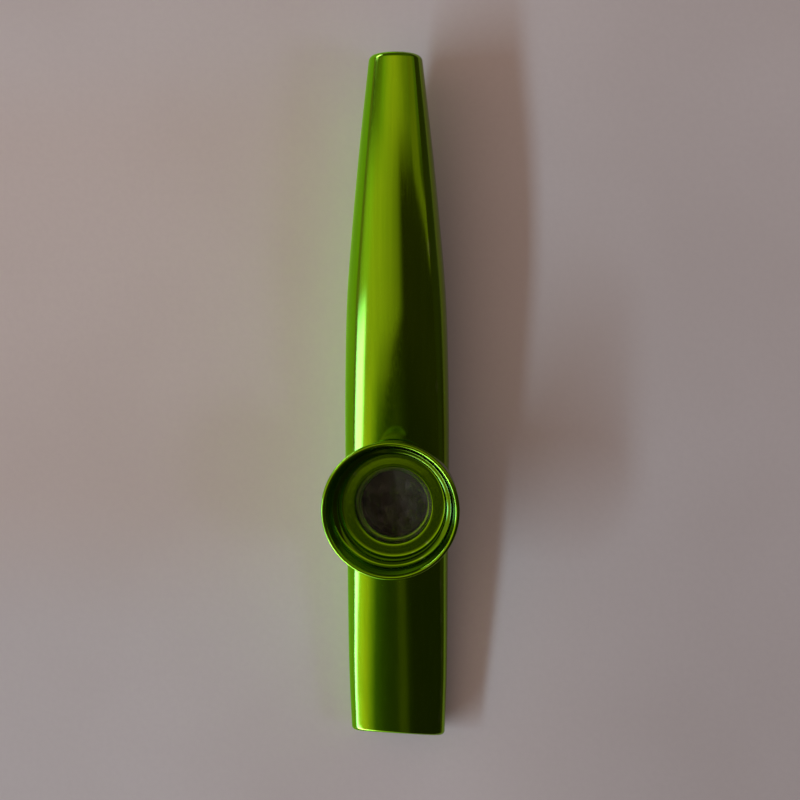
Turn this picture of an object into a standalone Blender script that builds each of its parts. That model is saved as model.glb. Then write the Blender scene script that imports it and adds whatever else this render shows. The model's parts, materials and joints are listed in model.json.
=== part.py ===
"""Metal kazoo: a swaged aluminium tube with an oval mouthpiece and a round outlet, and a turret whose
flared cup screws into a threaded collar and clamps a film membrane over the tube's sound hole.

Every piece is drawn in the tube's own frame: the tube's axis is Y, from the mouthpiece's end at y = 0
to the outlet, and the turret's axis is parallel to Z. An empty then lays the whole kazoo down as it
rests on a table, on the mouthpiece's lower lip and on the tube's belly.
"""

import math

import bmesh
import bpy
from mathutils import Matrix

MM = 0.001

# Tube: distance from the mouthpiece's end, half width and half height of its outside
STATIONS = (
    (0 * MM, 8.3 * MM, 4.0 * MM),
    (12 * MM, 8.75 * MM, 4.6 * MM),
    (30 * MM, 8.95 * MM, 5.6 * MM),
    (50 * MM, 9.2 * MM, 6.75 * MM),
    (65 * MM, 9.1 * MM, 7.55 * MM),
    (78 * MM, 8.7 * MM, 7.95 * MM),
    (90 * MM, 7.75 * MM, 7.5 * MM),
    (104 * MM, 6.4 * MM, 6.35 * MM),
    (120 * MM, 4.6 * MM, 4.6 * MM),
)
LENGTH = STATIONS[-1][0]
WALL = 0.8 * MM
MOUTH_LIP_R = 1.2 * MM
OUTLET_LIP_R = 1.1 * MM
LIP_LAND = 0.3 * MM
OUTER_STEP = 5.5 * MM
INNER_STEP = 9 * MM
TUBE_SIDES = 28
LIP_STEPS = 3

# Turret: heights are above the tube's axis
TURRET_Y = 42.5 * MM
SOUND_HOLE_R = 6.7 * MM
SPIGOT_R = 6.4 * MM
SPIGOT_LOW = 4.3 * MM
PASSAGE_R = 5.6 * MM
NECK_R = 8.3 * MM
NECK_FILLET = 1.2 * MM
SEAT = 8.1 * MM
RECESS_R = 8.9 * MM
RECESS_TOP = 8.8 * MM
COLLAR_R = 11.0 * MM
COLLAR_TOP = 11.6 * MM
TURRET_SIDES = 48
FIT_GAP = 0.3 * MM

# Screw thread between the cup and the collar, right-handed
PITCH = 1.0 * MM
COLLAR_CREST_R = 9.85 * MM
COLLAR_ROOT_R = 10.4 * MM
CUP_ROOT_R = 9.6 * MM
CUP_CREST_R = 10.1 * MM
THREAD_BURIED = 0.15 * MM
THREAD_START = 9.3 * MM

# Membrane: a carrier ring on the seat with the film bonded over it
STACK_GAP = 0.1 * MM
CARRIER_R = 8.7 * MM
CARRIER_BORE_R = 7.0 * MM
CARRIER_THICK = 0.6 * MM
FILM_R = 8.6 * MM
FILM_THICK = 0.12 * MM
FILM_GAP = 0.05 * MM

# Cup
CUP_FLOOR = 0.75 * MM
CUP_DEPTH = 7.3 * MM
CUP_HOLE_R = 6.55 * MM
LIP_R = 11.5 * MM

ANODISED_GREEN = (0.24, 0.56, 0.02, 1.0)
CARRIER_WHITE = (0.72, 0.74, 0.66, 1.0)
FILM_CLEAR = (0.62, 0.63, 0.58, 1.0)


def clear_scene():
    for old in list(bpy.data.objects):
        bpy.data.objects.remove(old, do_unlink=True)


def material(name, colour, metallic, roughness):
    made = bpy.data.materials.new(name)
    made.use_nodes = True
    shader = made.node_tree.nodes["Principled BSDF"]
    shader.inputs["Base Color"].default_value = colour
    shader.inputs["Metallic"].default_value = metallic
    shader.inputs["Roughness"].default_value = roughness
    return made


def object_from(bm, name, origin=(0, 0, 0)):
    """A new object from a closed bmesh, with its faces pointing out and its curved faces smooth."""
    bmesh.ops.recalc_face_normals(bm, faces=bm.faces)
    mesh = bpy.data.meshes.new(name)
    bm.to_mesh(mesh)
    bm.free()
    mesh.shade_smooth()
    mesh.set_sharp_from_angle(angle=math.radians(35))
    made = bpy.data.objects.new(name, mesh)
    made.location = origin
    bpy.context.collection.objects.link(made)
    return made


def guide(made):
    """Mark an operand of a Boolean, which isn't a piece of the kazoo."""
    made.hide_render = True
    made.display_type = "WIRE"
    return made


def boolean(target, operation, operand):
    cut = target.modifiers.new(f"{operation.lower()}_{operand.name}", "BOOLEAN")
    cut.operation = operation
    cut.solver = "EXACT"
    cut.object = operand


def turned(name, profile, origin, sides=TURRET_SIDES):
    """Spin a closed outline of (radius, height) points about Z. Points at radius 0 meet on the axis."""
    bm = bmesh.new()
    points = [bm.verts.new((radius, 0, height)) for radius, height in profile]
    around = zip(points, points[1:] + points[:1])
    edges = [bm.edges.new(pair) for pair in around if pair[0].co.x + pair[1].co.x > 0]
    bmesh.ops.spin(
        bm, geom=points + edges, cent=(0, 0, 0), axis=(0, 0, 1), angle=math.tau, steps=sides,
        use_merge=True, use_duplicate=False,
    )
    bmesh.ops.remove_doubles(bm, verts=bm.verts, dist=0.00001)
    return object_from(bm, name, origin)


def arc(centre, radius, start, end, steps):
    """Points of an arc in the (radius, height) plane, with its angles in degrees."""
    turns = [math.radians(start + (end - start) * i / steps) for i in range(steps + 1)]
    return [(centre[0] + radius * math.cos(t), centre[1] + radius * math.sin(t)) for t in turns]


def thread(name, base, crest, base_width, crest_width, start, turns, run_out, origin):
    """A helical ridge from radius base to radius crest, which sinks into its base over its run-outs.

    start is the height of its lower end, turns is its length, and run_out gives the turns over which
    the lower and the upper end sink."""
    bm = bmesh.new()
    sink = THREAD_BURIED if crest > base else -THREAD_BURIED
    steps = round(turns * TURRET_SIDES)
    rings = []
    for i in range(steps + 1):
        turn = i / TURRET_SIDES
        ends = [1.0 if length == 0 else min(1.0, far / length)
                for length, far in zip(run_out, (turn, turns - turn))]
        rise = min(ends) * (crest - base + sink)
        height = start + PITCH * turn
        outline = (
            (base - sink, -base_width / 2),
            (base - sink + rise, -crest_width / 2),
            (base - sink + rise, crest_width / 2),
            (base - sink, base_width / 2),
        )
        if rise == 0:
            outline = outline[:1] + outline[3:]
        spin = math.tau * turn
        rings.append([
            bm.verts.new((radius * math.cos(spin), radius * math.sin(spin), height + up))
            for radius, up in outline
        ])
    for lower, upper in zip(rings, rings[1:]):
        sides = max(len(lower), len(upper))
        low = lower if len(lower) == sides else [lower[0], lower[0], lower[1], lower[1]]
        high = upper if len(upper) == sides else [upper[0], upper[0], upper[1], upper[1]]
        for j in range(sides):
            k = (j + 1) % sides
            corners = dict.fromkeys((low[j], low[k], high[k], high[j]))
            bm.faces.new(list(corners))
    for end in (rings[0], rings[-1]):
        if len(end) > 2:
            bm.faces.new(end)
    return object_from(bm, name, origin)


def section(y):
    """Half width and half height of the tube's outside at y, on a smooth curve through its stations."""
    last = len(STATIONS) - 1
    i = max(j for j in range(last) if STATIONS[j][0] <= y or j == 0)

    def slope(j, k):
        a, b = max(j - 1, 0), min(j + 1, last)
        return (STATIONS[b][k] - STATIONS[a][k]) / (STATIONS[b][0] - STATIONS[a][0])

    span = STATIONS[i + 1][0] - STATIONS[i][0]
    t = (y - STATIONS[i][0]) / span
    start, end = 2 * t**3 - 3 * t**2 + 1, 3 * t**2 - 2 * t**3
    leave, arrive = t**3 - 2 * t**2 + t, t**3 - t**2
    return [
        start * STATIONS[i][k] + end * STATIONS[i + 1][k]
        + span * (leave * slope(i, k) + arrive * slope(i + 1, k))
        for k in (1, 2)
    ]


def lip_arc(radius):
    """Distances from the tube's end and insets of a quarter round, from the end face to the side."""
    angles = [math.pi / 2 * i / LIP_STEPS for i in range(LIP_STEPS + 1)]
    return [(radius * (1 - math.cos(t)), radius * (1 - math.sin(t))) for t in angles]


def spaced(start, end, step):
    """Values between start and end, without either, about step apart."""
    count = math.ceil((end - start) / step)
    return [start + (end - start) * i / count for i in range(1, count)]


def wall_outline():
    """The tube's wall as a closed loop of (y, inset): its outside, the outlet's lip and its inside."""
    mouth_depth, outlet_depth = MOUTH_LIP_R + LIP_LAND, OUTLET_LIP_R + LIP_LAND
    outer = [(0, mouth_depth)] + lip_arc(MOUTH_LIP_R)
    outer += [(y, 0) for y in spaced(MOUTH_LIP_R, LENGTH - OUTLET_LIP_R, OUTER_STEP)]
    outer += [(LENGTH - away, inset) for away, inset in reversed(lip_arc(OUTLET_LIP_R))]
    outer += [(LENGTH, outlet_depth)]
    inside = [(LENGTH - WALL, outlet_depth), (LENGTH - OUTLET_LIP_R - FIT_GAP, WALL)]
    inside += [
        (y, WALL) for y in reversed(spaced(2 * MOUTH_LIP_R, LENGTH - 2 * OUTLET_LIP_R, INNER_STEP))
    ]
    inside += [(MOUTH_LIP_R + FIT_GAP, WALL), (WALL, mouth_depth)]
    return outer + inside


def ring(bm, y, inset):
    """One oval of the tube, whose flat sides touch the true oval, with one at the bottom."""
    half_width, half_height = ((half - inset) / math.cos(math.pi / TUBE_SIDES) for half in section(y))
    angles = [math.tau * (k + 0.5) / TUBE_SIDES for k in range(TUBE_SIDES)]
    return [bm.verts.new((half_width * math.cos(t), y, half_height * math.sin(t))) for t in angles]


def skin(bm, near, far):
    """Faces between two neighbouring ovals."""
    for k in range(TUBE_SIDES):
        n = (k + 1) % TUBE_SIDES
        bm.faces.new((near[k], near[n], far[n], far[k]))


def body_tube():
    bm = bmesh.new()
    rings = [ring(bm, y, inset) for y, inset in wall_outline()]
    for near, far in zip(rings, rings[1:] + rings[:1]):
        skin(bm, near, far)
    tube = object_from(bm, "body_tube")
    hole = turned(
        "sound_hole", [(0, 0), (SOUND_HOLE_R, 0), (SOUND_HOLE_R, COLLAR_TOP), (0, COLLAR_TOP)],
        (0, TURRET_Y, 0),
    )
    boolean(tube, "DIFFERENCE", guide(hole))
    return tube


def tube_with_gap():
    """A solid the shape of the tube's outside, larger by the gap that the collar's foot keeps."""
    bm = bmesh.new()
    reach = COLLAR_R + OUTER_STEP
    places = spaced(TURRET_Y - reach, TURRET_Y + reach, OUTER_STEP)
    rings = [ring(bm, y, -FIT_GAP) for y in places]
    for near, far in zip(rings, rings[1:]):
        skin(bm, near, far)
    bm.faces.new(reversed(rings[0]))
    bm.faces.new(rings[-1])
    return guide(object_from(bm, "tube_with_gap"))


def turret_collar():
    """Turned socket: a saddle foot on the tube, a spigot in the sound hole, a seat and a thread."""
    at = (0, TURRET_Y, 0)
    edge = 0.2 * MM
    underside = SEAT - 0.7 * MM
    outline = [(0, 0), (NECK_R, 0)]
    outline += arc((NECK_R + NECK_FILLET, underside - NECK_FILLET), NECK_FILLET, 180, 90, 3)
    outline += [(COLLAR_R - edge, underside), (COLLAR_R, underside + edge)]
    outline += [(COLLAR_R, COLLAR_TOP - edge), (COLLAR_R - edge, COLLAR_TOP), (0, COLLAR_TOP)]
    collar = turned("turret_collar", outline, at)
    boolean(collar, "DIFFERENCE", tube_with_gap())
    spigot = [(0, SPIGOT_LOW), (SPIGOT_R, SPIGOT_LOW), (SPIGOT_R, SEAT - 0.5 * MM), (0, SEAT - 0.5 * MM)]
    boolean(collar, "UNION", guide(turned("spigot", spigot, at)))
    above = COLLAR_TOP + 1 * MM
    bore = [(0, 0), (PASSAGE_R, 0), (PASSAGE_R, SEAT), (RECESS_R, SEAT), (RECESS_R, RECESS_TOP)]
    bore += [(COLLAR_CREST_R, RECESS_TOP), (COLLAR_CREST_R, above), (0, above)]
    boolean(collar, "DIFFERENCE", guide(turned("collar_bore", bore, at)))
    groove = thread(
        "collar_thread", COLLAR_CREST_R, COLLAR_ROOT_R, 0.93 * MM, 0.3 * MM,
        THREAD_START, 2.75, (0.25, 0), at,
    )
    boolean(collar, "DIFFERENCE", guide(groove))
    return collar


def membrane_ring():
    low = SEAT + STACK_GAP
    high = low + CARRIER_THICK
    outline = [(CARRIER_R, high), (CARRIER_R, low), (CARRIER_BORE_R, low), (CARRIER_BORE_R, high)]
    return turned("membrane_ring", outline, (0, TURRET_Y, 0))


def membrane_film():
    low = SEAT + STACK_GAP + CARRIER_THICK + FILM_GAP
    high = low + FILM_THICK
    return turned("membrane_film", [(0, high), (FILM_R, high), (FILM_R, low), (0, low)], (0, TURRET_Y, 0))


def turret_cap():
    """Flared cup with a hole in its floor and a thread round its neck."""
    at = (0, TURRET_Y, 0)
    low = SEAT + 2 * STACK_GAP + CARRIER_THICK + FILM_GAP + FILM_THICK
    floor = low + CUP_FLOOR
    top = floor + CUP_DEPTH
    shoulder = COLLAR_TOP + FIT_GAP
    land, edge, wall = 0.3 * MM, 0.1 * MM, 0.55 * MM
    outline = [(LIP_R - edge - land, top), (LIP_R - edge, top), (LIP_R, top - edge)]
    outline += [(LIP_R - 0.1 * MM, top - 0.9 * MM), (LIP_R - 0.35 * MM, top - 2.2 * MM)]
    outline += [(LIP_R - 0.65 * MM, top - 3.7 * MM), (LIP_R - 0.8 * MM, shoulder + 0.2 * MM)]
    outline += [(LIP_R - 1.0 * MM, shoulder), (CUP_ROOT_R, shoulder)]
    outline += [(CUP_ROOT_R, low + 0.3 * MM), (CUP_ROOT_R - 0.3 * MM, low)]
    outline += [(CUP_HOLE_R + 0.15 * MM, low), (CUP_HOLE_R, low + 0.15 * MM)]
    outline += [(CUP_HOLE_R, floor - 0.15 * MM), (CUP_HOLE_R + 0.15 * MM, floor)]
    outline += arc((8.65 * MM, floor + 0.3 * MM), 0.3 * MM, -90, 0, 2)
    outline += [(9.05 * MM, shoulder + 0.5 * MM), (9.25 * MM, shoulder + 0.9 * MM)]
    outline += [(9.6 * MM, shoulder + 1.1 * MM), (10.1 * MM, shoulder + 1.3 * MM)]
    outline += [(LIP_R - 0.65 * MM - wall, top - 3.3 * MM), (LIP_R - 0.35 * MM - wall, top - 1.9 * MM)]
    outline += [(LIP_R - 0.1 * MM - wall, top - 0.7 * MM)]
    cap = turned("turret_cap", outline, at)
    ridge = thread(
        "cap_thread", CUP_ROOT_R, CUP_CREST_R, 0.75 * MM, 0.12 * MM,
        THREAD_START + 0.25 * PITCH, 1.75, (0.25, 0.25), at,
    )
    ridge.data.transform(Matrix.Rotation(math.radians(90), 4, "Z"))
    boolean(cap, "UNION", guide(ridge))
    return cap


def lowest(points, pitch):
    return min(y * math.sin(pitch) - low * math.cos(pitch) for y, low in points)


def rest_pitch():
    """Angle at which the mouthpiece's lower lip and the belly touch the table together."""
    outside = [(y, section(y)[1] - inset) for y, inset in wall_outline() if inset < WALL]
    lip = [point for point in outside if point[0] < LENGTH / 6]
    belly = [point for point in outside if point[0] > LENGTH / 6]
    low, high = 0.0, math.radians(15)
    for _ in range(40):
        middle = (low + high) / 2
        if lowest(lip, middle) > lowest(belly, middle):
            low = middle
        else:
            high = middle
    return middle


def lay_down(tube, pieces):
    """Parent every piece to an empty that puts the kazoo at rest, centred over the origin."""
    turn = Matrix.Rotation(rest_pitch(), 4, "X")
    corners = [turn @ vertex.co for vertex in tube.data.vertices]
    rest = bpy.data.objects.new("rest_pose", None)
    bpy.context.collection.objects.link(rest)
    middle = (min(c.y for c in corners) + max(c.y for c in corners)) / 2
    rest.matrix_world = Matrix.Translation((0, -middle, -min(c.z for c in corners))) @ turn
    for piece in pieces:
        piece.parent = rest


def build():
    clear_scene()
    metal = material("anodised_green", ANODISED_GREEN, 1.0, 0.18)
    carrier = material("carrier_plastic", CARRIER_WHITE, 0.0, 0.4)
    film = material("membrane_film", FILM_CLEAR, 0.0, 0.25)
    tube = body_tube()
    made = {tube: metal, turret_collar(): metal, turret_cap(): metal}
    made.update({membrane_ring(): carrier, membrane_film(): film})
    for piece, finish in made.items():
        piece.data.materials.append(finish)
    lay_down(tube, bpy.context.collection.objects[:])


build()
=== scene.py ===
"""Looks of the metal kazoo: a bright anodised tube with an oval mouthpiece, and a flared turret cup
over a crumpled film, lying on a pale table in soft light from the left."""

import json
import math

import bpy
from mathutils import Matrix, Vector, noise


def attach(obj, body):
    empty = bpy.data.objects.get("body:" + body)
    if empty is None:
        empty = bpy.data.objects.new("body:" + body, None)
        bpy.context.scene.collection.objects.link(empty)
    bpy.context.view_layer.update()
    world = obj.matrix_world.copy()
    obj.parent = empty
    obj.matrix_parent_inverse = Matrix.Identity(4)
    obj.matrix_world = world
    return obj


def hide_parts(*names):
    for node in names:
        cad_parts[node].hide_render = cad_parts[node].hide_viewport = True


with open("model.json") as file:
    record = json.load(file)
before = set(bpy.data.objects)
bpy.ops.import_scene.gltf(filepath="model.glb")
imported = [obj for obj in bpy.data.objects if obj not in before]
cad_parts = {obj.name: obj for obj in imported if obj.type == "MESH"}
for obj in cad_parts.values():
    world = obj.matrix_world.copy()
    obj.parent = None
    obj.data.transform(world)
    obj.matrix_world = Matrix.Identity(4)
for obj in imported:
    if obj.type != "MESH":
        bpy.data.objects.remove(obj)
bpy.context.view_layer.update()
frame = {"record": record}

MM = 0.001

# Tube, in its own frame: distance from the mouthpiece's end, half width, half height of its outside
STATIONS = (
    (0, 8.3, 4.0), (12, 8.75, 4.6), (30, 8.95, 5.6), (50, 9.2, 6.75), (65, 9.1, 7.55),
    (78, 8.7, 7.95), (90, 7.75, 7.5), (104, 6.4, 6.35), (120, 4.6, 4.6),
)
LENGTH = STATIONS[-1][0]
WALL = 0.8
MOUTH_LIP_R = 0.7
OUTLET_LIP_R = 0.9
LIP_LAND = 0.3
MOUTH_SKEW = math.tan(math.radians(2.6))
MOUTH_SKEW_LENGTH = 16
MOUTH_DIP = 0.75
TUBE_SIDES = 240
TUBE_STEP, BORE_STEP = 0.9, 2.0

# Turret: radii, and heights above the tube's axis
TURRET_Y = 42.5
TURRET_SIDES = 256
SOUND_HOLE_R, SOUND_HOLE_SIDES = 6.7, 128
SPIGOT_R, SPIGOT_LOW, PASSAGE_R = 6.4, 4.3, 5.6
NECK_R, NECK_FILLET = 8.3, 1.2
SEAT, RECESS_R, RECESS_TOP = 8.1, 8.9, 8.8
COLLAR_R, COLLAR_TOP = 11.0, 11.6
COLLAR_BORE_R, SADDLE_DEPTH, SEAT_ROUND = 9.85, 0.25, 0.5
SEAT_THICKNESS, NECK_ROWS = 0.7, 12
PITCH, THREAD_START = 1.0, 9.3
COLLAR_THREAD_TOP, CUP_THREAD_TOP, THREAD_STEP, THREAD_ROWS = 11.3, 11.75, 0.05, 49
CARRIER_R, CARRIER_BORE_R, CARRIER_LOW, CARRIER_TOP = 8.7, 7.0, 8.2, 8.8
FILM_R, FILM_TOP, FILM_THICKNESS, FILM_LOOSE_R = 8.6, 8.97, 0.05, 6.3
FILM_SIDES, FILM_RINGS, FILM_CENTRE_R, FILM_RISE = 240, 70, 0.02, 0.7
CUP_LOW, CUP_FLOOR, CUP_TOP, CUP_SHOULDER = 9.07, 9.82, 17.12, 11.9
CUP_HOLE_R, CUP_NECK_R, LIP_R, LIP_ROLL = 6.55, 9.6, 11.5, 0.40
CUP_FLOOR_R, CUP_FLOOR_FILLET = 8.55, 0.4

# The table, in metres, and the angle above which an edge is shaded sharp
TABLE_HALF, TABLE_DROP = 1.5, 0.02 * MM
SHARP_ANGLE = math.radians(40)


def tube_frame():
    """The matrix from the tube's own frame, in millimetres, to the row frame."""
    joint = next(j for j in frame["record"]["behaviour"]["joints"] if j["name"] == "cap_turn")
    up = Vector(joint["axis"]).normalized()
    along = Vector((0, up.z, -up.y))
    origin = Vector(joint["pos_m"]) - (TURRET_Y * along + FILM_TOP * up) * MM
    turn = Matrix(((1, along.x, up.x), (0, along.y, up.y), (0, along.z, up.z))).to_4x4()
    return Matrix.Translation(origin) @ turn @ Matrix.Scale(MM, 4)


TO_ROW = tube_frame()


# ---------------------------------------------------------------- shapes

def piece(name, points, faces, node, body, slot, finish):
    """A smooth-shaded piece from points in the tube's own frame, which stands for a CAD node."""
    mesh = bpy.data.meshes.new(name)
    mesh.from_pydata([TO_ROW @ Vector(p) for p in points], [], faces)
    mesh.update()
    mesh.shade_smooth()
    mesh.set_sharp_from_angle(angle=SHARP_ANGLE)
    made = bpy.data.objects.new(name, mesh)
    bpy.context.scene.collection.objects.link(made)
    mesh.materials.append(finish)
    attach(made, body)
    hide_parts(node)
    return made


def looped(rings):
    """Points and quads of rings joined in order, with the last joined to the first."""
    count = len(rings[0])
    points = [p for ring in rings for p in ring]
    faces = []
    for i in range(len(rings)):
        j = (i + 1) % len(rings)
        for k in range(count):
            n = (k + 1) % count
            faces.append((i * count + k, i * count + n, j * count + n, j * count + k))
    return points, faces


def turned(outline, shape=None, sides=TURRET_SIDES):
    """Spin a closed outline of (radius, height) about the turret's axis. shape changes a point."""
    rings = []
    for radius, height in outline:
        ring = []
        for k in range(sides):
            angle = math.tau * k / sides
            r, h = shape(radius, height, angle) if shape else (radius, height)
            ring.append((r * math.cos(angle), TURRET_Y + r * math.sin(angle), h))
        rings.append(ring)
    return looped(rings)


def arc(centre, radius, start, end, steps):
    turns = [math.radians(start + (end - start) * i / steps) for i in range(steps + 1)]
    return [(centre[0] + radius * math.cos(t), centre[1] + radius * math.sin(t)) for t in turns]


def run(start, end, steps):
    """Points from start to end, without the first."""
    return [
        tuple(a + (b - a) * i / steps for a, b in zip(start, end)) for i in range(1, steps + 1)
    ]


def smooth_run(points, steps=6):
    """A curve through points, with its own ends kept."""
    made = [points[0]]
    padded = [points[0], *points, points[-1]]
    for p0, p1, p2, p3 in zip(padded, padded[1:], padded[2:], padded[3:]):
        for i in range(1, steps + 1):
            t = i / steps
            made.append(tuple(
                0.5 * (2 * b + (c - a) * t + (2 * a - 5 * b + 4 * c - d) * t**2
                       + (3 * b - a - 3 * c + d) * t**3)
                for a, b, c, d in zip(p0, p1, p2, p3)
            ))
    return made


def section(y):
    """Half width and half height of the tube's outside at y, on a smooth curve through its stations."""
    last = len(STATIONS) - 1
    i = max(j for j in range(last) if STATIONS[j][0] <= y or j == 0)

    def slope(j, k):
        a, b = max(j - 1, 0), min(j + 1, last)
        return (STATIONS[b][k] - STATIONS[a][k]) / (STATIONS[b][0] - STATIONS[a][0])

    span = STATIONS[i + 1][0] - STATIONS[i][0]
    t = (y - STATIONS[i][0]) / span
    start, end = 2 * t**3 - 3 * t**2 + 1, 3 * t**2 - 2 * t**3
    leave, arrive = t**3 - 2 * t**2 + t, t**3 - t**2
    return [
        start * STATIONS[i][k] + end * STATIONS[i + 1][k]
        + span * (leave * slope(i, k) + arrive * slope(i + 1, k))
        for k in (1, 2)
    ]


def lip_arc(radius, steps=10):
    angles = [math.pi / 2 * i / steps for i in range(steps + 1)]
    return [(radius * (1 - math.cos(t)), radius * (1 - math.sin(t))) for t in angles]


def spaced(start, end, step):
    count = math.ceil((end - start) / step)
    return [start + (end - start) * i / count for i in range(1, count)]


def wall_outline():
    """The tube's wall as a closed loop of (y, inset): outside, outlet lip, inside, mouth lip."""
    mouth_depth, outlet_depth = MOUTH_LIP_R + LIP_LAND, OUTLET_LIP_R + LIP_LAND
    outer = [(0, mouth_depth)] + lip_arc(MOUTH_LIP_R)
    outer += [(y, 0) for y in spaced(MOUTH_LIP_R, LENGTH - OUTLET_LIP_R, TUBE_STEP)]
    outer += [(LENGTH - away, inset) for away, inset in reversed(lip_arc(OUTLET_LIP_R))]
    outer += [(LENGTH, outlet_depth)]
    inside = [(LENGTH - 0.15, outlet_depth + 0.1), (LENGTH - 0.55, outlet_depth + 0.02)]
    inside += [(LENGTH - WALL, outlet_depth - 0.15), (LENGTH - OUTLET_LIP_R - 0.3, WALL)]
    inside += [(y, WALL) for y in reversed(spaced(2.4, LENGTH - 2.2, BORE_STEP))]
    inside += [(MOUTH_LIP_R + 0.3, WALL), (WALL, mouth_depth - 0.15)]
    inside += [(0.55, mouth_depth + 0.02), (0.15, mouth_depth + 0.1)]
    return outer + inside


def tube_points():
    rings = []
    for y, inset in wall_outline():
        half_width, half_height = (half - inset for half in section(y))
        near = max(0.0, 1 - y / MOUTH_SKEW_LENGTH) ** 2
        ring = []
        for k in range(TUBE_SIDES):
            t = math.tau * (k + 0.5) / TUBE_SIDES
            x = half_width * math.cos(t)
            dip = MOUTH_DIP * max(0.0, math.sin(t)) ** 1.5
            skew = near * (MOUTH_SKEW * (STATIONS[0][1] - x) + dip)
            ring.append((x, y + skew, half_height * math.sin(t)))
        rings.append(ring)
    return looped(rings)


def cut(target, name, outline):
    """Cut a turned solid out of target and keep the result as its mesh."""
    points, faces = turned(outline, sides=SOUND_HOLE_SIDES)
    mesh = bpy.data.meshes.new(name)
    mesh.from_pydata([TO_ROW @ Vector(p) for p in points], [], faces)
    cutter = bpy.data.objects.new(name, mesh)
    bpy.context.scene.collection.objects.link(cutter)
    knife = target.modifiers.new(name, "BOOLEAN")
    knife.operation = "DIFFERENCE"
    knife.solver = "EXACT"
    knife.object = cutter
    bpy.context.view_layer.update()
    graph = bpy.context.evaluated_depsgraph_get()
    made = bpy.data.meshes.new_from_object(target.evaluated_get(graph))
    target.modifiers.clear()
    target.data = made
    bpy.data.objects.remove(cutter, do_unlink=True)
    made.shade_smooth()
    made.set_sharp_from_angle(angle=SHARP_ANGLE)


def tube_top(x, y):
    """Height of the tube's outside above its axis."""
    half_width, half_height = section(y)
    return half_height * math.sqrt(max(0.0, 1 - (x / half_width) ** 2))


def ridge(height, angle, base, crest, depth, turns, run_out):
    """How far a helical ridge stands out of its cylinder at a height and an angle."""
    best = 0.0
    for k in range(math.ceil(turns) + 1):
        turn = angle / math.tau + k
        if turn > turns:
            continue
        away = abs(height - THREAD_START - PITCH * turn)
        side = min(1.0, max(0.0, (base / 2 - away) / (base / 2 - crest / 2)))
        ends = [1.0 if n == 0 else min(1.0, far / n) for n, far in zip(run_out, (turn, turns - turn))]
        best = max(best, side * depth * min(ends))
    return best


def collar_points():
    """Socket with a saddle foot on the tube, a spigot in its sound hole, a seat and a thread."""
    under = SEAT - SEAT_THICKNESS
    outline = [(SPIGOT_R, "foot"), (NECK_R, "foot")]
    outline += [(NECK_R, ("neck", i / NECK_ROWS)) for i in range(1, NECK_ROWS)]
    outline += [(NECK_R, under - NECK_FILLET)]
    outline += arc((NECK_R + NECK_FILLET, under - NECK_FILLET), NECK_FILLET, 180, 90, 10)
    outline += arc((COLLAR_R - 0.35, under + 0.35), 0.35, -90, 0, 6)
    outline += arc((COLLAR_R - 0.25, COLLAR_TOP - 0.25), 0.25, 0, 90, 6)
    outline += arc((10.15, COLLAR_TOP - 0.2), 0.2, 90, 160, 4)
    bore = COLLAR_BORE_R
    outline += [(bore, COLLAR_THREAD_TOP - THREAD_STEP * i) for i in range(THREAD_ROWS)]
    outline += [(bore, RECESS_TOP + 0.02), (bore - 0.02, RECESS_TOP), (RECESS_R + 0.08, RECESS_TOP)]
    outline += [(RECESS_R, RECESS_TOP - 0.08), (RECESS_R, SEAT + 0.1), (RECESS_R - 0.1, SEAT)]
    outline += [(PASSAGE_R + SEAT_ROUND + 0.1, SEAT)]
    outline += arc((PASSAGE_R + SEAT_ROUND, SEAT - SEAT_ROUND), SEAT_ROUND, 90, 180, 8)
    outline += [(PASSAGE_R, SPIGOT_LOW + 0.1), (PASSAGE_R + 0.1, SPIGOT_LOW)]
    outline += [(SPIGOT_R - 0.1, SPIGOT_LOW), (SPIGOT_R, SPIGOT_LOW + 0.05)]

    def shape(radius, height, angle):
        x, y = radius * math.cos(angle), TURRET_Y + radius * math.sin(angle)
        foot = max(tube_top(x, y) - SADDLE_DEPTH, SPIGOT_LOW + 0.1 if radius == SPIGOT_R else 0)
        if height == "foot":
            return radius, foot
        if isinstance(height, tuple):
            return radius, foot + height[1] * (under - NECK_FILLET - foot)
        if radius == bore:
            return radius + ridge(height, angle, 0.93, 0.3, 0.55, 2.75, (0.25, 0)), height
        return radius, height

    return turned(outline, shape)


def ring_points():
    edge = 0.08
    outline = arc((CARRIER_R - edge, CARRIER_TOP - edge), edge, 0, 90, 3)
    outline += arc((CARRIER_BORE_R + edge, CARRIER_TOP - edge), edge, 90, 180, 3)
    outline += arc((CARRIER_BORE_R + edge, CARRIER_LOW + edge), edge, 180, 270, 3)
    outline += arc((CARRIER_R - edge, CARRIER_LOW + edge), edge, 270, 360, 3)
    return turned(outline)


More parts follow.
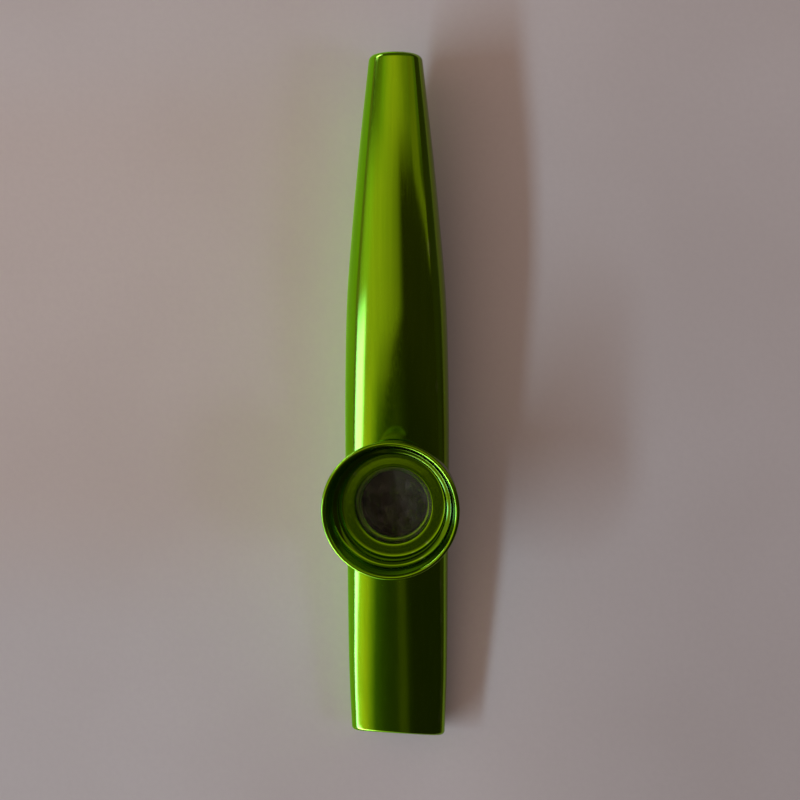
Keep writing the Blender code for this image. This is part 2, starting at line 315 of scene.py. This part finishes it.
def cup_points():
    """Flared cup with a rolled lip, a hole in its floor and a thread round its neck."""
    top, shoulder = CUP_TOP, CUP_SHOULDER
    outline = arc((LIP_R - LIP_ROLL, top - LIP_ROLL), LIP_ROLL, 180, 0, 16)
    outline += smooth_run([
        (LIP_R - 0.03, top - 0.8), (LIP_R - 0.16, top - 1.5), (LIP_R - 0.36, top - 2.4),
        (LIP_R - 0.6, top - 3.6), (LIP_R - 0.78, shoulder + 0.45),
    ])
    outline += arc((LIP_R - 1.1, shoulder + 0.3), 0.3, 0, -90, 6)
    outline += [(CUP_NECK_R + 0.1, shoulder), (CUP_NECK_R, shoulder - 0.08)]
    outline += [(CUP_NECK_R, CUP_THREAD_TOP - THREAD_STEP * i) for i in range(THREAD_ROWS)]
    outline += arc((CUP_NECK_R - 0.25, CUP_LOW + 0.25), 0.25, 0, -90, 5)
    outline += arc((CUP_HOLE_R + 0.2, CUP_LOW + 0.2), 0.2, -90, -180, 4)
    outline += arc((CUP_HOLE_R + 0.22, CUP_FLOOR - 0.22), 0.22, 180, 90, 6)
    outline += run((CUP_HOLE_R + 0.22, CUP_FLOOR), (8.5, CUP_FLOOR), 4)[:-1]
    outline += arc((CUP_FLOOR_R, CUP_FLOOR + CUP_FLOOR_FILLET), CUP_FLOOR_FILLET, -90, 0, 7)
    outline += smooth_run([
        (8.97, CUP_FLOOR + 1.2), (9.02, shoulder + 0.4), (9.15, shoulder + 0.8),
        (9.5, shoulder + 1.08), (9.95, shoulder + 1.3), (10.2, shoulder + 1.7),
        (LIP_R - 1.12, top - 2.6), (LIP_R - 0.92, top - 1.6), (LIP_R - 0.78, top - 0.8),
    ])

    def shape(radius, height, angle):
        if radius == CUP_NECK_R:
            return radius + ridge(height, angle, 0.75, 0.12, 0.5, 2.0, (0.25, 0.25)), height
        return radius, height

    return turned(outline, shape)


def film_height(x, y):
    """Rise of the crumpled film at a place, flat where the ring and the cup's floor clamp it."""
    radius = math.hypot(x, y)
    loose = max(0.0, 1 - (radius / FILM_LOOSE_R) ** 4)
    soft = noise.noise(Vector((x * 0.28 + 3.1, y * 0.28 - 1.7, 0.4)))
    crease = abs(noise.noise(Vector((x * 0.42 - 5.2, y * 0.36 + 2.2, 1.9))))
    fine = noise.noise(Vector((x * 1.3 + 7.7, y * 1.1, 3.3)))
    fold = math.exp(-((x + 0.25 + 0.06 * y) / 0.35) ** 2) * 0.28
    rim = math.exp(-((radius - 5.7) / 0.45) ** 2) * math.sin(9 * math.atan2(y, x) + 2 * soft)
    return loose * (0.75 * soft + 0.9 * crease - 0.35 + 0.09 * fine + fold + 0.16 * rim)


def film_points():
    spread = [i / FILM_RINGS for i in range(FILM_RINGS + 1)]
    radii = [FILM_CENTRE_R + (FILM_R - FILM_CENTRE_R) * share for share in spread]
    rings = []
    for level, order in ((FILM_TOP, radii), (FILM_TOP - FILM_THICKNESS, radii[::-1])):
        for radius in order:
            ring = []
            for k in range(FILM_SIDES):
                angle = math.tau * k / FILM_SIDES
                x, y = radius * math.cos(angle), radius * math.sin(angle)
                ring.append((x, TURRET_Y + y, level + min(film_height(x, y), FILM_RISE)))
            rings.append(ring)
    return looped(rings)


# ---------------------------------------------------------------- materials

GREENS = (0.255, 0.50, 0.0006, 1), (0.285, 0.55, 0.001, 1)
GREEN_CLOUD = (0.30, 0.54, 0.003, 1)
# Paler at sharp edges: partly edge wear, partly a painted highlight
GREEN_WORN_AND_HIGHLIGHT = (0.55, 0.72, 0.25, 1)
# Painted shade under the collar
GREEN_PAINTED_SHADE_UNDER = (0.03, 0.055, 0.001, 1)
# Painted shade in a band inside the cup above its shoulder
GREEN_PAINTED_SHADE_IN_CUP = (0.05, 0.10, 0.001, 1)
# Painted shade: the tube's inner wall darkened nearly to black
BORE_PAINTED_SHADE = (0.040, 0.034, 0.024, 1)
PLASTIC = (0.62, 0.64, 0.56, 1), (0.76, 0.77, 0.70, 1)
# The film's colour: clouded at random, and darkened as painted shade of the dark inside of the tube
# seen through it
FILM_CLOUD_AND_PAINTED_SHADE = (0.07, 0.06, 0.045, 1), (0.20, 0.175, 0.14, 1)
TABLE = (0.60, 0.53, 0.50, 1), (0.64, 0.575, 0.55, 1)
TABLE_GRAIN = (0.52, 0.46, 0.44, 1)
# Painted warm shade on the table beside the kazoo's left side
TABLE_PAINTED_WARM_SHADE = (1.0, 0.93, 0.88, 1)
# Painted light in the table's mirror image: how much of the table's colour the metal mirrors, close by
# and far off on each side. It is painted shade everywhere but close by on the left, where it is a
# painted green glow.
MIRRORED_LEFT_PAINTED_GLOW, MIRRORED_FAR_LEFT_PAINTED_SHADE = (0.85, 1.45, 0.25, 1), (0.6, 0.6, 0.6, 1)
MIRRORED_RIGHT_PAINTED_SHADE, MIRRORED_FAR_RIGHT_PAINTED_SHADE = (0.75, 0.75, 0.75, 1), (0.14, 0.14, 0.12, 1)


class Graph:
    """Short names for building a node tree."""

    def __init__(self, tree):
        self.tree = tree

    def node(self, kind, **settings):
        made = self.tree.nodes.new(kind)
        for key, value in settings.items():
            setattr(made, key, value)
        return made

    def link(self, source, target):
        self.tree.links.new(source, target)

    def feed(self, socket, value):
        if hasattr(value, "is_output"):
            self.link(value, socket)
        else:
            socket.default_value = value

    def math(self, operation, *values):
        made = self.node("ShaderNodeMath", operation=operation)
        for socket, value in zip(made.inputs, values):
            self.feed(socket, value)
        return made.outputs[0]

    def product(self, first, *others):
        for other in others:
            first = self.math("MULTIPLY", first, other)
        return first

    def split(self, vector):
        made = self.node("ShaderNodeSeparateXYZ")
        self.link(vector, made.inputs[0])
        return made.outputs

    def ramp(self, factor, stops):
        made = self.node("ShaderNodeValToRGB")
        elements = made.color_ramp.elements
        while len(elements) < len(stops):
            elements.new(0.5)
        for element, (place, colour) in zip(elements, stops):
            element.position = place
            element.color = (*colour, 1)
        self.link(factor, made.inputs[0])
        return made.outputs[0]

    def smooth(self, value, start, end, low=0.0, high=1.0):
        """low up to start, high from end on, and a smooth step between them."""
        made = self.node("ShaderNodeMapRange", interpolation_type="SMOOTHSTEP")
        for socket, number in zip(made.inputs, (value, start, end, low, high)):
            self.feed(socket, number)
        return made.outputs[0]

    def between(self, value, start, full, fade, end):
        """1 from full to fade, and 0 before start and after end."""
        return self.product(self.smooth(value, start, full), self.smooth(value, fade, end, 1.0, 0.0))

    def mix(self, factor, a, b, blend="MIX"):
        made = self.node("ShaderNodeMix", data_type="RGBA", blend_type=blend)
        self.feed(made.inputs[0], factor)
        self.feed(made.inputs[6], a)
        self.feed(made.inputs[7], b)
        return made.outputs[2]

    def noise(self, vector, scale, detail=3.0, roughness=0.5):
        made = self.node("ShaderNodeTexNoise")
        self.link(vector, made.inputs["Vector"])
        made.inputs["Scale"].default_value = scale
        made.inputs["Detail"].default_value = detail
        made.inputs["Roughness"].default_value = roughness
        return made.outputs[0]

    def stretched(self, vector, scale, move=(0, 0, 0)):
        made = self.node("ShaderNodeMapping")
        self.link(vector, made.inputs["Vector"])
        made.inputs["Location"].default_value = move
        made.inputs["Scale"].default_value = scale
        return made.outputs[0]

    def bump(self, shader, height, strength, distance):
        made = self.node("ShaderNodeBump")
        made.inputs["Strength"].default_value = strength
        made.inputs["Distance"].default_value = distance
        self.link(height, made.inputs["Height"])
        self.link(made.outputs[0], shader.inputs["Normal"])


def new_material(name):
    """A material with its graph, its shader and the object's own coordinates."""
    made = bpy.data.materials.new(name)
    made.use_nodes = True
    g = Graph(made.node_tree)
    place = g.node("ShaderNodeTexCoord").outputs["Object"]
    return made, g, made.node_tree.nodes["Principled BSDF"], place


def inside_tube(g, place):
    """1 on the tube's inner wall, which faces its axis, and 0 outside."""
    start, along = TO_ROW @ Vector((0, 0, 0)), TO_ROW.to_3x3() @ Vector((0, 1, 0))
    x, y, z = g.split(place)
    facing_x, _, facing_z = g.split(g.node("ShaderNodeTexCoord").outputs["Normal"])
    rise = along.z / along.y
    level = g.math("MULTIPLY_ADD", y, rise, start.z - start.y * rise)
    up = g.math("MULTIPLY", facing_z, g.math("SUBTRACT", z, level))
    out = g.math("MULTIPLY_ADD", facing_x, x, up)
    return g.smooth(out, -2 * MM, -0.5 * MM, 1.0, 0.0)


def round_turret(g, place):
    """Distance from the turret's axis, distance along the kazoo from it, and height."""
    centre = TO_ROW @ Vector((0, TURRET_Y, 0))
    x, y, z = g.split(g.stretched(place, (1, 1, 1), move=(-centre.x, -centre.y, 0)))
    radius = g.math("SQRT", g.math("ADD", g.math("POWER", x, 2.0), g.math("POWER", y, 2.0)))
    return radius, y, z


def turret_painted_shade(g, colour, radius, y, z):
    """Painted shade: darker under the collar, and in a band in the cup above its shoulder."""
    under = (TO_ROW @ Vector((0, TURRET_Y, SEAT - 0.9))).z
    # painted shade under the collar
    low = g.smooth(z, under - 0.4 * MM, under, 0.62, 0.0)
    colour = g.mix(low, colour, GREEN_PAINTED_SHADE_UNDER)
    # painted shade in a band inside the cup above its shoulder
    level = g.math("ADD", z, g.math("MULTIPLY", y, -TO_ROW.col[1].z / TO_ROW.col[1].y))
    foot = (TO_ROW @ Vector((0, TURRET_Y, CUP_SHOULDER + 0.4))).z
    band = g.between(level, foot - 0.3 * MM, foot + 0.3 * MM, foot + 1.2 * MM, foot + 2.4 * MM)
    inner = g.smooth(radius, 10.15 * MM, 10.4 * MM, 0.62, 0.0)
    return g.mix(g.product(band, inner), colour, GREEN_PAINTED_SHADE_IN_CUP)


def anodised(name, lines):
    """Bright anodised aluminium. lines is "drawn" along the tube or "turned" round the turret."""
    made, g, shader, place = new_material(name)
    if lines == "drawn":
        across = g.stretched(place, (9000, 60, 9000))
        broad = g.stretched(place, (1400, 25, 1400))
    else:
        radius, y, z = round_turret(g, place)
        joined = g.node("ShaderNodeCombineXYZ")
        g.link(radius, joined.inputs[0])
        g.link(z, joined.inputs[1])
        across = g.stretched(joined.outputs[0], (16000, 16000, 1))
        broad = g.stretched(joined.outputs[0], (2500, 2500, 1))
    fine = g.noise(across, 1.0, 2.0)
    wide = g.noise(broad, 1.0, 3.0)
    cloud = g.noise(place, 180.0, 3.0)
    grime = g.noise(place, 1500.0, 4.0, 0.65)
    colour = g.mix(g.smooth(wide, 0.3, 0.7), *GREENS)
    colour = g.mix(g.smooth(cloud, 0.35, 0.75, 0.0, 0.35), colour, GREEN_CLOUD)
    # Paler at sharp edges: partly edge wear, partly a painted highlight on the lips
    edge = g.node("ShaderNodeNewGeometry").outputs["Pointiness"]
    colour = g.mix(g.smooth(edge, 0.53, 0.62, 0.0, 0.35), colour, GREEN_WORN_AND_HIGHLIGHT)
    rough = g.math("ADD", g.smooth(fine, 0.3, 0.75, 0.085, 0.15), g.smooth(grime, 0.55, 0.8, 0.0, 0.07))
    if lines == "drawn":
        # Painted shade: the inner wall is darkened nearly to black, and made rougher
        bore = inside_tube(g, place)
        colour = g.mix(bore, colour, BORE_PAINTED_SHADE)
        rough = g.math("ADD", rough, g.math("MULTIPLY", bore, 0.25))
    else:
        # Painted shade under the collar and in a band inside the cup
        colour = turret_painted_shade(g, colour, radius, y, z)
    g.link(colour, shader.inputs["Base Color"])
    g.link(rough, shader.inputs["Roughness"])
    shader.inputs["Metallic"].default_value = 1.0
    shader.inputs["Coat Weight"].default_value = 0.10
    shader.inputs["Coat Roughness"].default_value = 0.09
    shader.inputs["Coat IOR"].default_value = 1.55
    g.bump(shader, g.math("ADD", fine, g.math("MULTIPLY", wide, 1.5)), 0.5, 0.0016 * MM)
    return made


def carrier_plastic():
    made, g, shader, place = new_material("carrier_plastic")
    cloud = g.noise(place, 900.0, 3.0)
    g.link(g.mix(cloud, *PLASTIC), shader.inputs["Base Color"])
    g.link(g.smooth(cloud, 0.2, 0.8, 0.34, 0.5), shader.inputs["Roughness"])
    return made


def film_clear():
    """Thin, slightly clouded film; its colour is darkened as painted shade of the dark inside of the
    tube seen through it.
    """
    made, g, shader, place = new_material("membrane_film")
    cloud = g.noise(place, 420.0, 4.0, 0.6)
    g.link(g.mix(cloud, *FILM_CLOUD_AND_PAINTED_SHADE), shader.inputs["Base Color"])
    g.link(g.smooth(cloud, 0.3, 0.75, 0.26, 0.38), shader.inputs["Roughness"])
    g.link(g.smooth(cloud, 0.3, 0.8, 0.08, 0.26), shader.inputs["Alpha"])
    shader.inputs["Specular IOR Level"].default_value = 0.15
    g.bump(shader, g.noise(place, 2600.0, 3.0), 0.4, 0.04 * MM)
    return made


def table_lit(g, colour, x, y):
    """The table's colour with painted light: darker away from the window, and a painted warm shade
    beside the kazoo's left side.
    """
    fall = g.math("SUBTRACT", g.smooth(y, -0.08, 0.08, 0.95, 1.10), g.smooth(x, 0.0, 0.06, 0.0, 0.14))
    scaled = g.node("ShaderNodeVectorMath", operation="SCALE")
    g.link(colour, scaled.inputs[0])
    g.link(fall, scaled.inputs["Scale"])
    # painted warm shade on the table beside the kazoo's left side
    warm = g.product(g.smooth(x, -0.022, 0.0, 1.0, 0.0), g.smooth(y, -0.045, -0.015),
                     g.smooth(y, 0.045, 0.070, 1.0, 0.3))
    return g.mix(warm, scaled.outputs[0], g.mix(1.0, scaled.outputs[0], TABLE_PAINTED_WARM_SHADE, "MULTIPLY"))


def table_mirrored(g, colour, x):
    """The table as the metal mirrors it, with painted light: a painted green glow beside the kazoo on
    the left, and painted shade elsewhere, darkest on the far right.
    """
    right = g.mix(g.smooth(x, 0.022, 0.030), MIRRORED_RIGHT_PAINTED_SHADE, MIRRORED_FAR_RIGHT_PAINTED_SHADE)
    left = g.mix(g.smooth(x, -0.11, -0.06), MIRRORED_FAR_LEFT_PAINTED_SHADE, MIRRORED_LEFT_PAINTED_GLOW)
    return g.mix(1.0, colour, g.mix(g.smooth(x, -0.008, 0.008), left, right), "MULTIPLY")


def table_top():
    made, g, shader, place = new_material("table_top")
    broad = g.noise(place, 14.0, 3.0)
    grain = g.noise(place, 900.0, 3.0, 0.6)
    x, y, _ = g.split(place)
    colour = g.mix(g.smooth(broad, 0.3, 0.7), *TABLE)
    colour = g.mix(g.smooth(grain, 0.3, 0.7, 0.0, 0.12), colour, TABLE_GRAIN)
    colour = table_lit(g, colour, x, y)
    mirrored = g.node("ShaderNodeLightPath").outputs["Is Glossy Ray"]
    # Painted light seen only in reflections: glossy rays see the table with painted shade and a painted
    # green glow
    g.link(g.mix(mirrored, colour, table_mirrored(g, colour, x)), shader.inputs["Base Color"])
    shader.inputs["Roughness"].default_value = 0.7
    shader.inputs["Specular IOR Level"].default_value = 0.0
    g.bump(shader, grain, 0.25, 0.05 * MM)
    return made


# ---------------------------------------------------------------- build

def build_kazoo():
    drawn = anodised("anodised_drawn", "drawn")
    lathe = anodised("anodised_turned", "turned")
    tube = piece("tube_shell", *tube_points(), "body_tube", "tube", "anodised_tube", drawn)
    far = COLLAR_TOP + 4
    cut(tube, "hole_cutter", [(0.001, 0), (SOUND_HOLE_R, 0), (SOUND_HOLE_R, far), (0.001, far)])
    piece("collar_socket", *collar_points(), "turret_collar", "tube", "anodised_turret", lathe)
    piece("carrier_ring", *ring_points(), "membrane_ring", "membrane", "carrier_plastic",
          carrier_plastic())
    piece("film_crumpled", *film_points(), "membrane_film", "membrane", "membrane_film", film_clear())
    piece("cup_flared", *cup_points(), "turret_cap", "cap", "anodised_turret", lathe)


def add_table():
    half = TABLE_HALF
    mesh = bpy.data.meshes.new("table_top")
    corners = [(-half, -half, 0), (half, -half, 0), (half, half, 0), (-half, half, 0)]
    mesh.from_pydata(corners, [], [(0, 1, 2, 3)])
    made = bpy.data.objects.new("table_top", mesh)
    made.location.z = -TABLE_DROP
    bpy.context.scene.collection.objects.link(made)
    mesh.materials.append(table_top())


# ---------------------------------------------------------------- light

# Radiance that the kazoo mirrors, by degrees from overhead, left positive: beside the mouthpiece's
# end, in the middle and beyond the outlet. A dark corner stands over the right of the first two.
NEAR = (
    (0, (0.04, 0.042, 0.03)), (14, (0.035, 0.042, 0.03)), (25, (0.055, 0.07, 0.04)),
    (34, (0.09, 0.13, 0.08)), (44, (0.42, 0.42, 0.25)), (52, (0.75, 0.62, 0.42)),
    (63, (0.95, 0.85, 0.6)), (78, (1.0, 1.05, 1.0)), (90, (1.4, 1.5, 1.5)), (100, (0.5, 0.5, 0.5)),
    (130, (0.2, 0.2, 0.2)),
)
MIDDLE = (
    (-30, (0.10, 0.09, 0.08)), (-12, (0.22, 0.19, 0.15)), (0, (0.36, 0.30, 0.24)),
    (10, (0.44, 0.37, 0.30)), (24, (0.54, 0.46, 0.38)), (38, (0.64, 0.54, 0.44)),
    (55, (0.66, 0.57, 0.46)), (70, (0.60, 0.66, 0.50)), (82, (0.50, 0.56, 0.45)),
    (92, (0.30, 0.34, 0.25)), (104, (0.15, 0.20, 0.10)), (130, (0.15, 0.18, 0.10)),
)
BEYOND = (
    (-110, (0.10, 0.10, 0.08)), (-92, (0.14, 0.15, 0.10)), (-60, (0.21, 0.20, 0.15)),
    (-36, (0.36, 0.30, 0.22)), (-13, (0.56, 0.45, 0.34)), (6, (0.70, 0.54, 0.42)),
    (30, (0.58, 0.51, 0.40)), (46, (0.37, 0.43, 0.30)), (57, (0.25, 0.27, 0.18)),
    (72, (0.17, 0.19, 0.13)), (84, (0.12, 0.125, 0.10)), (130, (0.2, 0.2, 0.2)),
)
FAR = (0.09, 0.10, 0.06, 1)
WINDOW_NEAR = (9.0, 11.0, 60.0, 1)
WINDOW_FAR = (5.0, 6.0, 30.0, 1)
DARK = (0.034, 0.026, 0.020, 1)
DARK_NEAR = (0.02, 0.018, 0.014, 1)
STRIP = (2.8, 4.4, 44.0, 1)
RIGHT_BAND = (0.27, 0.215, 0.15, 1)
FAINT_BAND = (0.125, 0.105, 0.06, 1)

# Soft light on rough surfaces, from the side away from the window to the side of the window
SOFT = (
    (0.1, (0.115, 0.078, 0.050)), (0.5, (0.135, 0.092, 0.062)), (0.78, (0.34, 0.255, 0.20)),
    (1.0, (0.80, 0.60, 0.50)),
)
SOFT_FROM = (-0.80, -0.22, 0.56)

# Light that the metal throws on the table, by where it comes from
THROWN_LEFT = (4.2, 5.6, 0.4, 1)
THROWN_LOW = (1.5, 1.3, 0.3, 1)
THROWN_RIGHT = (0.30, 0.14, 0.10, 1)

BACKDROP, BACKDROP_STRENGTH = (0.60, 0.56, 0.54, 1), 0.62
TWICE_DULLED = 0.6


def dark_corner(g, lean, along, near, middle):
    """The room beside and behind the mouthpiece, with a dark corner over its right."""
    # where the corner ends, in degrees from overhead, moves left towards the mouthpiece
    end = g.math("ADD", g.smooth(along, -15.0, -3.5, 31.0, -12.0),
                 g.smooth(along, -28.0, -18.0, 16.0, 0.0))
    lit = g.smooth(g.math("SUBTRACT", lean, end), -9.0, 6.0)
    middle = g.mix(lit, DARK, middle)
    near = g.mix(g.smooth(lean, -24.0, 2.0), DARK_NEAR, near)
    return g.mix(g.smooth(along, -14.0, -5.0), near, middle)


def bands(g, lean, along, colour):
    """A faint band along the dark corner's middle, and a band low on the right beyond the outlet."""
    away = g.math("ABSOLUTE", g.math("SUBTRACT", lean, g.smooth(along, -22.0, -12.0, -5.0, 4.0)))
    faint = g.product(g.smooth(away, 2.0, 9.0, 1.0, 0.0), g.smooth(along, -16.5, -14.0, 1.0, 0.0),
                      g.smooth(along, -22.0, -15.0, 0.45, 1.0))
    colour = g.mix(faint, colour, FAINT_BAND)
    away = g.math("ABSOLUTE", g.math("SUBTRACT", lean, g.smooth(along, 9.0, 15.0, -98.0, -66.0)))
    right = g.product(g.smooth(away, 8.0, 16.0, 1.0, 0.0), g.smooth(along, 6.5, 9.0))
    return g.mix(right, colour, RIGHT_BAND)


def bright_strip(g, lean, along, colour):
    """A long narrow window on the left, which sinks lower towards the mouthpiece's end."""
    start = g.math("ADD", g.smooth(along, -18.0, -9.0, 76.0, 63.0),
                   g.smooth(along, -27.0, -21.0, -11.0, 0.0))
    stop = g.smooth(along, -16.0, -9.0, 97.0, 87.0)
    strip = g.product(
        g.smooth(g.math("SUBTRACT", lean, start), 0.0, 8.0),
        g.smooth(g.math("SUBTRACT", lean, stop), 0.0, 7.0, 1.0, 0.0),
        g.smooth(along, -4.5, 4.0, 1.0, 0.0),
        g.smooth(along, -45.0, -30.0),
    )
    return g.mix(strip, colour, STRIP)


def low_windows(g, lean, along, height, colour):
    """Windows near the horizon on the left, which light only the thin lips."""
    low = g.product(g.smooth(height, 0.16, 0.24, 1.0, 0.0), g.smooth(lean, 8.0, 25.0))
    near_side = g.between(along, -76.0, -50.0, -34.0, -28.0)
    far_side = g.between(along, 20.0, 30.0, 44.0, 56.0)
    colour = g.mix(g.product(low, near_side), colour, WINDOW_NEAR)
    return g.mix(g.product(low, far_side), colour, WINDOW_FAR)


def mirrored_room(g, lean, along, height):
    """Colour of the room as the metal mirrors it."""
    place = g.math("MULTIPLY_ADD", lean, 1 / 360, 0.5)
    near, middle, beyond = (
        g.ramp(place, [(degrees / 360 + 0.5, colour) for degrees, colour in table])
        for table in (NEAR, MIDDLE, BEYOND)
    )
    colour = dark_corner(g, lean, along, near, middle)
    colour = g.mix(g.smooth(along, 12.5, 19.0), colour, beyond)
    colour = bands(g, lean, along, colour)
    colour = bright_strip(g, lean, along, colour)
    colour = g.mix(g.smooth(along, 25.0, 36.0), colour, FAR)
    return low_windows(g, lean, along, height, colour)


def room_light():
    """A world with one brightness for the metal's mirror image, one for the light on rough surfaces,
    one for the light that the metal throws, and a plain pale one where the camera sees it."""
    world = bpy.data.worlds.new("room")
    bpy.context.scene.world = world
    world.use_nodes = True
    world.cycles.sampling_method = "NONE"
    g = Graph(world.node_tree)
    path = g.node("ShaderNodeLightPath").outputs
    x, y, z = g.split(g.node("ShaderNodeTexCoord").outputs["Generated"])
    lean = g.math("MULTIPLY", g.math("ARCTAN2", g.math("MULTIPLY", x, -1.0), z), 180 / math.pi)
    along = g.math("MULTIPLY", g.math("ARCSINE", y), 180 / math.pi)
    # metal mirrored in metal is duller than the room's own image
    twice = g.math("MULTIPLY", g.math("GREATER_THAN", path["Glossy Depth"], 1.5), TWICE_DULLED)
    mirrored = g.mix(twice, mirrored_room(g, lean, along, z), DARK)
    thrown = g.mix(g.smooth(lean, 20.0, 54.0), THROWN_RIGHT, THROWN_LEFT)
    thrown = g.mix(g.smooth(lean, 64.0, 86.0), thrown, THROWN_LOW)
    indirect = g.math("GREATER_THAN", path["Diffuse Depth"], 0.5)
    parts = [g.math("MULTIPLY", axis, share) for axis, share in zip((x, y, z), SOFT_FROM)]
    toward = g.math("ADD", g.math("ADD", parts[0], parts[1]), parts[2])
    soft = g.ramp(g.math("MULTIPLY_ADD", toward, 0.5, 0.5), SOFT)
    lit = g.node("ShaderNodeBackground")
    g.link(g.mix(path["Is Diffuse Ray"], g.mix(indirect, mirrored, thrown), soft), lit.inputs["Color"])
    plain = g.node("ShaderNodeBackground")
    plain.inputs["Color"].default_value = BACKDROP
    plain.inputs["Strength"].default_value = BACKDROP_STRENGTH
    both = g.node("ShaderNodeMixShader")
    g.link(path["Is Camera Ray"], both.inputs[0])
    g.link(lit.outputs[0], both.inputs[1])
    g.link(plain.outputs[0], both.inputs[2])
    out = world.node_tree.nodes.get("World Output") or g.node("ShaderNodeOutputWorld")
    g.link(both.outputs[0], out.inputs["Surface"])


def window(name, place, size, power, colour):
    """A lamp with its long side along Y, which faces the line over the kazoo's length."""
    data = bpy.data.lights.new(name, "AREA")
    data.shape = "RECTANGLE"
    data.size, data.size_y = size
    data.energy = power
    data.color = colour
    made = bpy.data.objects.new(name, data)
    made.location = place
    back = Vector((place[0], 0, place[2])).normalized()
    side = Vector((0, 1, 0))
    up = back.cross(side)
    made.rotation_mode = "QUATERNION"
    made.rotation_quaternion = Matrix((side, up, back)).transposed().to_quaternion()
    made.visible_glossy = False
    bpy.context.scene.collection.objects.link(made)


def add_lights():
    room_light()
    window("window_left", (-0.70, -0.50, 0.545), (0.95, 0.075), 5.7, (0.60, 0.85, 1.06))
    window("window_right", (0.60, -0.14, 0.50), (0.16, 0.12), 0.50, (0.50, 0.58, 1.0))


# ---------------------------------------------------------------- camera

CAMERA_DISTANCE, CAMERA_LEAN = 0.240, math.radians(4.0)
CAMERA_TARGET = Vector((0.00003, -0.0001, 0))
SENSOR_WIDTH, LENS = 36, 59.2


def add_camera():
    """Looks down on the kazoo from a little to its right."""
    data = bpy.data.cameras.new("camera")
    data.sensor_width = SENSOR_WIDTH
    data.lens = LENS
    data.clip_start, data.clip_end = 0.01, 20
    made = bpy.data.objects.new("camera", data)
    side, up = math.sin(CAMERA_LEAN), math.cos(CAMERA_LEAN)
    made.location = CAMERA_TARGET + Vector((side, 0, up)) * CAMERA_DISTANCE
    made.rotation_mode = "QUATERNION"
    made.rotation_quaternion = Matrix(((up, 0, side), (0, 1, 0), (-side, 0, up))).to_quaternion()
    bpy.context.scene.collection.objects.link(made)
    bpy.context.scene.camera = made


build_kazoo()
add_table()
add_lights()
add_camera()
bpy.context.scene.view_settings.view_transform = "Standard"
bpy.context.view_layer.update()
